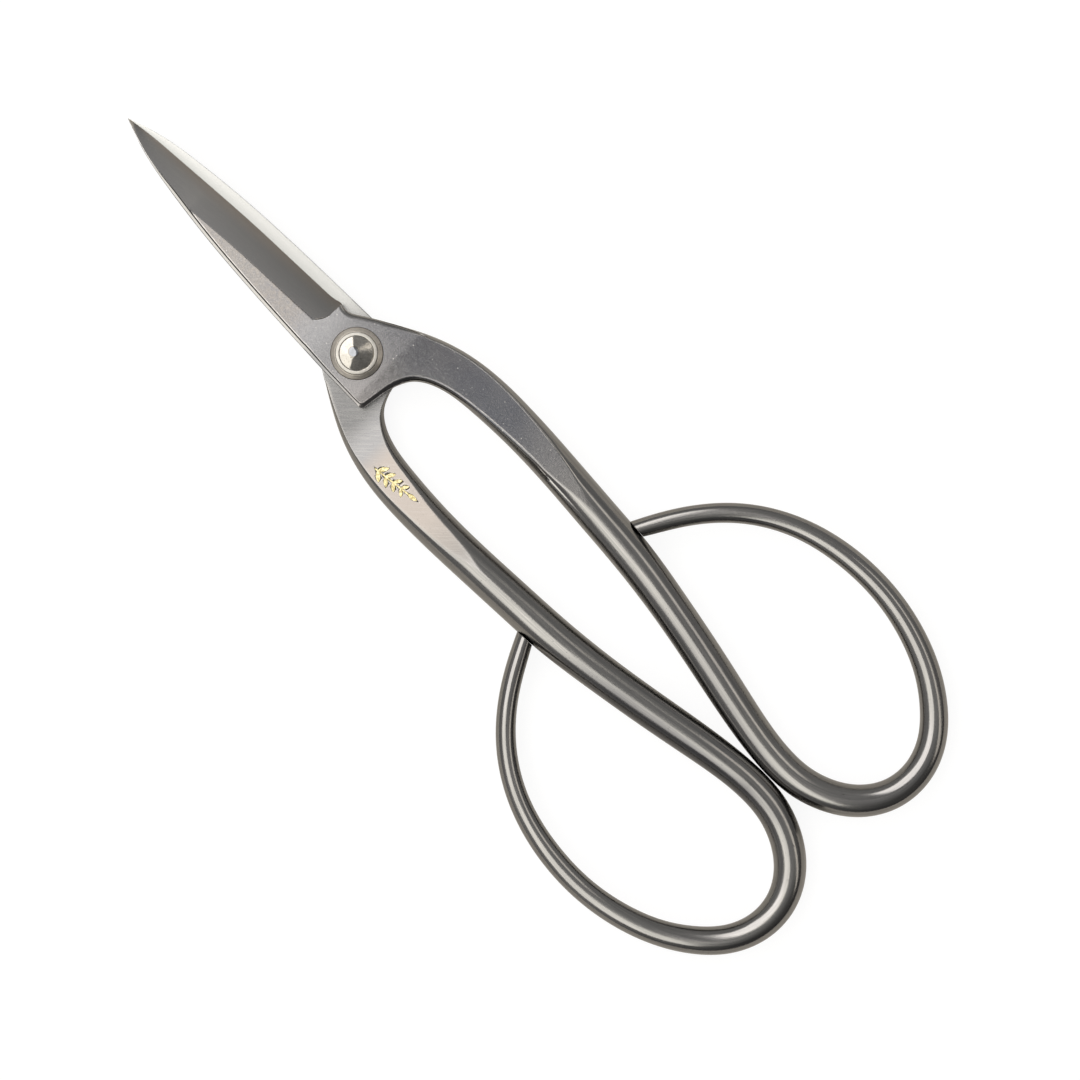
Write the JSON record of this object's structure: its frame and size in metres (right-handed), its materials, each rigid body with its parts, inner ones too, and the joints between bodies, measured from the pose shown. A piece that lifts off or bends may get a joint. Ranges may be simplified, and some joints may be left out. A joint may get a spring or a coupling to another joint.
{
  "type": "floral snips",
  "caption": "Long-handled flower and garden scissors: slim hollow-ground blades, forged arms and large round finger bows on one peened rivet.",
  "frame": {"origin": "on the pivot axis, at the flat of the lower rivet head, which is the lowest point of the tool lying on a table", "axes": "+X along the closed blades towards their tips, +Z along the pivot axis towards the front half, +Y towards the handle of the rear half"},
  "size_m": [0.1995, 0.0862, 0.0127],
  "materials": {
    "forged_steel": "dark satin, ground flats and polished rods",
    "rivet_steel": "bright, hammered",
    "washer_steel": "dull warm grey",
    "gold_inlay": "matt gold filling"
  },
  "bodies": {
    "rear_body": {"rear_half": "forged_steel", "pivot_rivet": "rivet_steel", "front_washer": "washer_steel", "rear_washer": "washer_steel", "gold_sprig_inlay": "gold_inlay"},
    "front_body": {"front_half": "forged_steel"}
  },
  "joints": [
    {"name": "pivot", "type": "hinge", "parent": "rear_body", "child": "front_body", "pos_m": [0, 0, 0], "axis": [0, 0, 1], "range_deg": [0, 100]}
  ]
}
